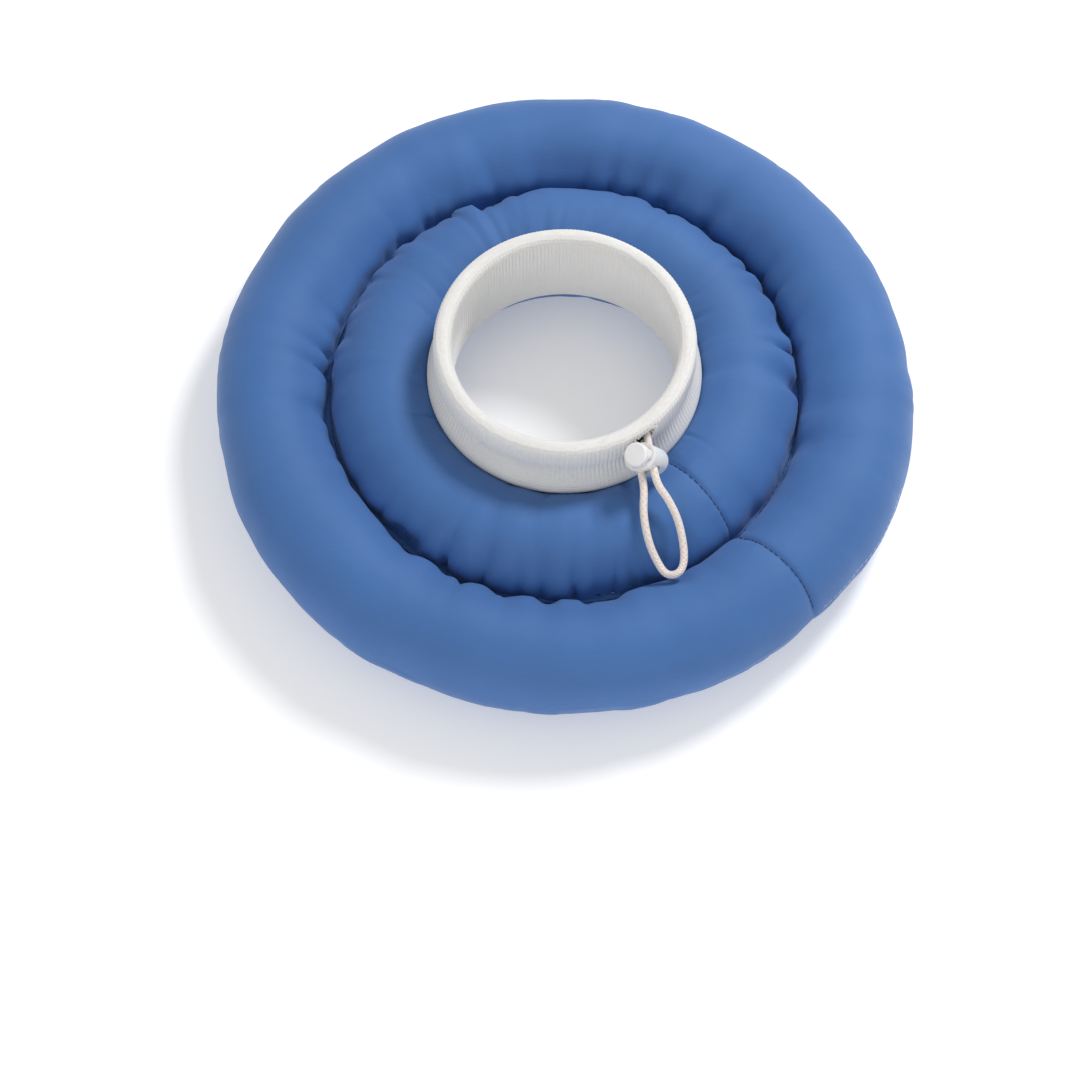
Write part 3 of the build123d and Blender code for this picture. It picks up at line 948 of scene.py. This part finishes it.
def rib_share(height):
    """Ribs show on both faces of the band, and flatten over the fold and at the seam."""
    if height > FOLD_HEIGHT:
        return 0.25 + 0.75 * (1 - (height - FOLD_HEIGHT) / FOLD_RADIUS) ** 2
    return min(1.0, max(0.15, (height - 36) / 6))


def in_hole(point):
    """Inside the buttonhole, on the outer face of the band."""
    radius, _, height = polar(point)
    if radius < BAND_RADIUS - 1.5 or height < 40:
        return False
    away = point / MM - LOCK_CENTRE
    if away.dot(WAY) > 0 or away.length > 15:
        return False
    side = abs(away.dot(ACROSS)) / HOLE_HALF_WIDTH
    rise = abs(away.dot(UP) - HOLE_SHIFT) / HOLE_HALF_HEIGHT
    return side**2.5 + rise**2.5 < 1


def make_band():
    band = spun("ribbed_neckband", band_outline(), RIBS * RIB_COLUMNS)
    for vertex in band.data.vertices:
        radius, azimuth, height = polar(vertex.co)
        share = rib_share(height)
        rib = (0.5 + 0.5 * cos(RIBS * azimuth)) ** 0.8 - 0.6
        outward = 1 if radius > BORE + FOLD_RADIUS else -1
        shift = RIB_DEPTH * share * rib * outward
        if radius < BORE + 0.2:
            shift = -abs(RIB_DEPTH * share * (0.5 + 0.5 * cos(RIBS * azimuth)) ** 0.8) * 0.8
        free = min(max((height - 34) / 20, 0), 1)
        lean = 0.35 * swell(azimuth, 5, 1.6) * free
        rise = 0.45 * swell(azimuth, 9, 1.8) * free
        vertex.co = round_point(radius + shift + lean, azimuth, height + rise)
    cut_away(band, in_hole)
    wall = band.modifiers.new("knit", "SOLIDIFY")
    wall.thickness = KNIT * MM
    wall.offset = -1
    finish_modifier(band, wall)
    smooth(band, 60)
    outfit(band, "collar", "rib_knit", RIB_KNIT, "neckband")


make_band()


# ---------- stitches ----------


def stitch_shape(length, thickness):
    """One stitch lying along X: a round-ended thread that dips into the cloth at both ends."""
    bpy.ops.object.select_all(action="DESELECT")
    bpy.ops.mesh.primitive_uv_sphere_add(segments=8, ring_count=6, radius=thickness / 2 * MM)
    stitch = bpy.context.object
    edit(stitch)
    bpy.ops.mesh.select_all(action="SELECT")
    bpy.ops.transform.rotate(value=pi / 2, orient_axis="Y", center_override=(0, 0, 0))
    half = (length - thickness) / 2 * MM
    for side in (1, -1):
        pick(stitch, "VERT", lambda p, side=side: p.x * side > 1e-6)
        bpy.ops.transform.translate(value=(half * side, 0, -0.12 * thickness * MM))
    done()
    return stitch


def sew(name, shape, places, finish, slot, node):
    """Copies of one stitch at every place, as a single piece."""
    copies = []
    for number, place in enumerate(places):
        stitch = copy_of(shape, f"{name}_{number}")
        stitch.data.transform(place)
        copies.append(stitch)
    bpy.data.objects.remove(shape)
    only(copies[0])
    for stitch in copies[1:]:
        stitch.select_set(True)
    bpy.ops.object.join()
    row = bpy.context.object
    row.name = name
    smooth(row)
    outfit(row, "collar", slot, finish, node)


def standing(place, along, up):
    """The matrix that lays a stitch at a place, along one way and proud another."""
    along = along.normalized()
    side = up.cross(along).normalized()
    up = along.cross(side)
    turn = Matrix((along, side, up)).transposed().to_4x4()
    return Matrix.Translation(place) @ turn


def ring_places(radius, height, count, up):
    """Stitch places round a seam, a little uneven as a machine leaves them."""
    places = []
    for number in range(count):
        azimuth = 2 * pi * (number + 0.5) / count
        azimuth += radians(0.12) * random.uniform(-1, 1)
        along = Vector((-sin(azimuth), cos(azimuth), 0.03 * random.uniform(-1, 1)))
        places.append(standing(round_point(radius, azimuth, height), along, Vector(up)))
    return places


def node_rows(node):
    """Radius, lowest and highest point of a round seam, from the solid it replaces."""
    low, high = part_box(node)
    return high.x / MM, low.z / MM, high.z / MM


def sew_rounds():
    up, down = (0, 0, 1), (0, 0, -1)
    shape = stitch_shape(2.5, 0.4)
    top = SEAM_HEIGHT + FABRIC + 0.2
    low = SEAM_HEIGHT - FABRIC - 0.2
    places = ring_places(GROOVE_RADIUS, top, GROOVE_STITCHES, up)
    places += ring_places(GROOVE_RADIUS, low, GROOVE_STITCHES, down)
    sew("groove_stitches", shape, places, BLUE_THREAD, "blue_thread", "groove_stitching")
    for name, node, count, tuck in (
        ("rim_seam_stitches", "rim_seam_thread", RIM_STITCHES, 1.0),
        ("neck_seam_stitches", "neck_seam_thread", NECK_STITCHES, 0.0),
    ):
        reach, low, high = node_rows(node)
        reach -= tuck
        thread = 0.35
        shape = stitch_shape(2.5, thread)
        places = ring_places(reach - thread / 2, high - thread / 2, count, up)
        places += ring_places(reach - thread / 2, low + thread / 2, count, down)
        sew(name, shape, places, BLUE_THREAD, "blue_thread", node)


def on_surface(cover, point, inward):
    """Where a line from just outside meets the cover, and its outward direction there."""
    hit, place, normal, _ = cover.ray_cast(point - inward * 6 * MM, inward, distance=12 * MM)
    return (place, normal) if hit else (None, None)


def line_stations(cover, line, side, gap):
    """Stitch places along the radial seam, on a line of a ring's outline.

    The side is 1 or -1 so that the stitches look outwards, and the gap is where they start.
    """
    stations, run = [], 0.0
    wanted = gap
    for here, there in zip(line, line[1:]):
        step = math.hypot(there[0] - here[0], there[1] - here[1])
        run += step
        if run >= wanted:
            flat = Vector((there[0] - here[0], there[1] - here[1]))
            stations.append((there, flat.normalized()))
            wanted += SEAM_PITCH
    places = []
    azimuth = radians(RADIAL_SEAM)
    turn = Matrix.Rotation(azimuth, 3, "Z")
    for (radius, height), flat in stations:
        along = turn @ Vector((flat.x, 0, flat.y))
        out = turn @ Vector((-flat.y * side, 0, flat.x * side))
        point = round_point(radius, azimuth, height)
        place, normal = on_surface(cover, point, -out)
        if place is not None:
            places.append(standing(place + normal * 0.06 * MM, along, normal))
    return places


def sew_radial_seam():
    groove_in = GROOVE_RADIUS - GROOVE_HALF_WIDTH
    groove_out = GROOVE_RADIUS + GROOVE_HALF_WIDTH
    top = SEAM_HEIGHT + FABRIC
    low = SEAM_HEIGHT - FABRIC
    neck, inside, outside, rim = FLOOR_EDGES
    above = (
        ((NECK_RADIUS, FLANGE_UP), INNER_CREST, FULL, 13),
        ((groove_in, top), INNER_CREST, ROUND, 4),
        ((groove_out, top), OUTER_CREST, ROUND, 4),
        ((OUTER_RADIUS, SEAM_HEIGHT), OUTER_CREST, ROUND, 6),
    )
    below = (
        ((NECK_RADIUS, FLANGE_DOWN), (neck, 0), ROUND, 3),
        ((groove_in, low), (inside, 0), ROUND, 4),
        ((groove_out, low), (outside, 0), ROUND, 4),
        ((OUTER_RADIUS, SEAM_HEIGHT), (rim, 0), ROUND, 6),
    )
    places = []
    for seam, crest, fullness, gap in above:
        side = 1 if crest[0] > seam[0] else -1
        places += line_stations(upper_cover, dome(seam, crest, fullness, 60), side, gap)
    node = "radial_seam_upper_stitches"
    shape = stitch_shape(1.9, 0.42)
    sew("radial_seam_stitches", shape, places, BLUE_THREAD, "blue_thread", node)
    places = []
    for seam, crest, fullness, gap in below:
        side = -1 if crest[0] > seam[0] else 1
        places += line_stations(lower_cover, dome(seam, crest, fullness, 60), side, gap)
    for start, end in ((neck, inside), (outside, rim)):
        flat = [(start + (end - start) * step / 60, 0.0) for step in range(61)]
        places += line_stations(lower_cover, flat, -1, 1.0)
    node = "radial_seam_lower_stitches"
    shape = stitch_shape(1.9, 0.42)
    sew("lower_radial_stitches", shape, places, BLUE_THREAD, "blue_thread", node)


def sew_closing():
    """The row that closes the opening the stuffing went in by, beside the radial seam."""
    places = []
    for number in range(CLOSING_STITCHES):
        azimuth = radians(-43.5 + 26 * (number + 0.5) / CLOSING_STITCHES)
        point = round_point(OUTER_RADIUS, azimuth, SEAM_HEIGHT + 3)
        inward = -Vector((cos(azimuth), sin(azimuth), 0))
        place, normal = on_surface(upper_cover, point, inward)
        if place is None:
            continue
        along = Vector((-sin(azimuth), cos(azimuth), 0))
        places.append(standing(place + normal * 0.06 * MM, along, normal))
    shape = stitch_shape(2.0, 0.38)
    sew("rim_closing_row", shape, places, PALE_THREAD, "pale_thread", "rim_closing_stitches")


def hole_point(turn, grow, lift):
    """A point on the band round the buttonhole, grown outwards and lifted off the knit."""
    side = abs(cos(turn)) ** 0.8 * math.copysign(1, cos(turn)) * (HOLE_HALF_WIDTH + grow)
    rise = abs(sin(turn)) ** 0.8 * math.copysign(1, sin(turn)) * (HOLE_HALF_HEIGHT + grow)
    start = LOCK_CENTRE + ACROSS * side + UP * (rise + HOLE_SHIFT)
    radius = BAND_RADIUS + lift
    spread = WAY.x**2 + WAY.y**2
    half = (start.x * WAY.x + start.y * WAY.y) / spread
    gap = (start.x**2 + start.y**2 - radius**2) / spread
    return (start + WAY * (-half + math.copysign(sqrt(max(half**2 - gap, 0)), half))) * MM


def sew_buttonhole():
    places = []
    for number in range(HOLE_STITCHES):
        turn = 2 * pi * (number + 0.5) / HOLE_STITCHES
        inner = hole_point(turn, -0.15, 0.05)
        outer = hole_point(turn, 1.15, 0.2)
        middle = (inner + outer) / 2
        out = Vector((middle.x, middle.y, 0)).normalized()
        places.append(standing(middle, outer - inner, out))
    shape = stitch_shape(1.7, 0.5)
    sew("buttonhole_border", shape, places, WHITE_THREAD, "white_thread", "buttonhole_stitching")


def sew_channel():
    reach, low, high = node_rows("cord_channel_stitching")
    height = (low + high) / 2
    places = []
    for number in range(CHANNEL_STITCHES):
        azimuth = 2 * pi * (number + 0.5) / CHANNEL_STITCHES
        out = Vector((cos(azimuth), sin(azimuth), 0))
        along = Vector((-sin(azimuth), cos(azimuth), 0))
        places.append(standing(round_point(reach - 0.2, azimuth, height), along, out))
    shape = stitch_shape(2.1, 0.4)
    sew("channel_row", shape, places, WHITE_THREAD, "white_thread", "cord_channel_stitching")


sew_rounds()
sew_radial_seam()
sew_closing()
sew_buttonhole()
sew_channel()


# ---------- cord lock ----------


def free_copy(node, name):
    """A merged copy of a solid that stands on its own."""
    piece = copy_of(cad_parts[node], name)
    piece.parent = None
    piece.matrix_world = Matrix.Identity(4)
    for key in list(piece.keys()):
        del piece[key]
    edit(piece)
    bpy.ops.mesh.select_all(action="SELECT")
    bpy.ops.mesh.remove_doubles(threshold=0.002 * MM)
    bpy.ops.mesh.tris_convert_to_quads(face_threshold=radians(2), shape_threshold=radians(40))
    done()
    return piece


def moulded(node, name, body, edge):
    """A moulded copy of a solid with its sharp edges rounded."""
    piece = free_copy(node, name)
    rounding = piece.modifiers.new("rounding", "BEVEL")
    rounding.width = edge * MM
    rounding.segments = 3
    rounding.limit_method = "ANGLE"
    rounding.angle_limit = radians(50)
    finish_modifier(piece, rounding)
    smooth(piece, 40)
    return outfit(piece, body, "lock_plastic", PLASTIC, node)


moulded("cord_lock_barrel", "lock_barrel", "cord_lock", 0.3)
moulded("cord_lock_plunger", "lock_button", "plunger", 0.4)


def make_spring():
    """The lock's spring, copied with a mesh of its own; the real spring shortens as the button
    is pressed, and this copy keeps one length.
    """
    spring = free_copy("cord_lock_spring", "lock_spring")
    smooth(spring, 60)
    outfit(spring, "cord_lock", "spring_steel", STEEL, "cord_lock_spring")
    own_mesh(spring)


make_spring()


# ---------- the CAD pieces that stay ----------


for node, finish in (
    ("drawcord_channel_run", ELASTIC),
    ("cord_end_whipping", WHITE_THREAD),
):
    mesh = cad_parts[node].data
    mesh.materials.clear()
    mesh.materials.append(finish)

set_studio()
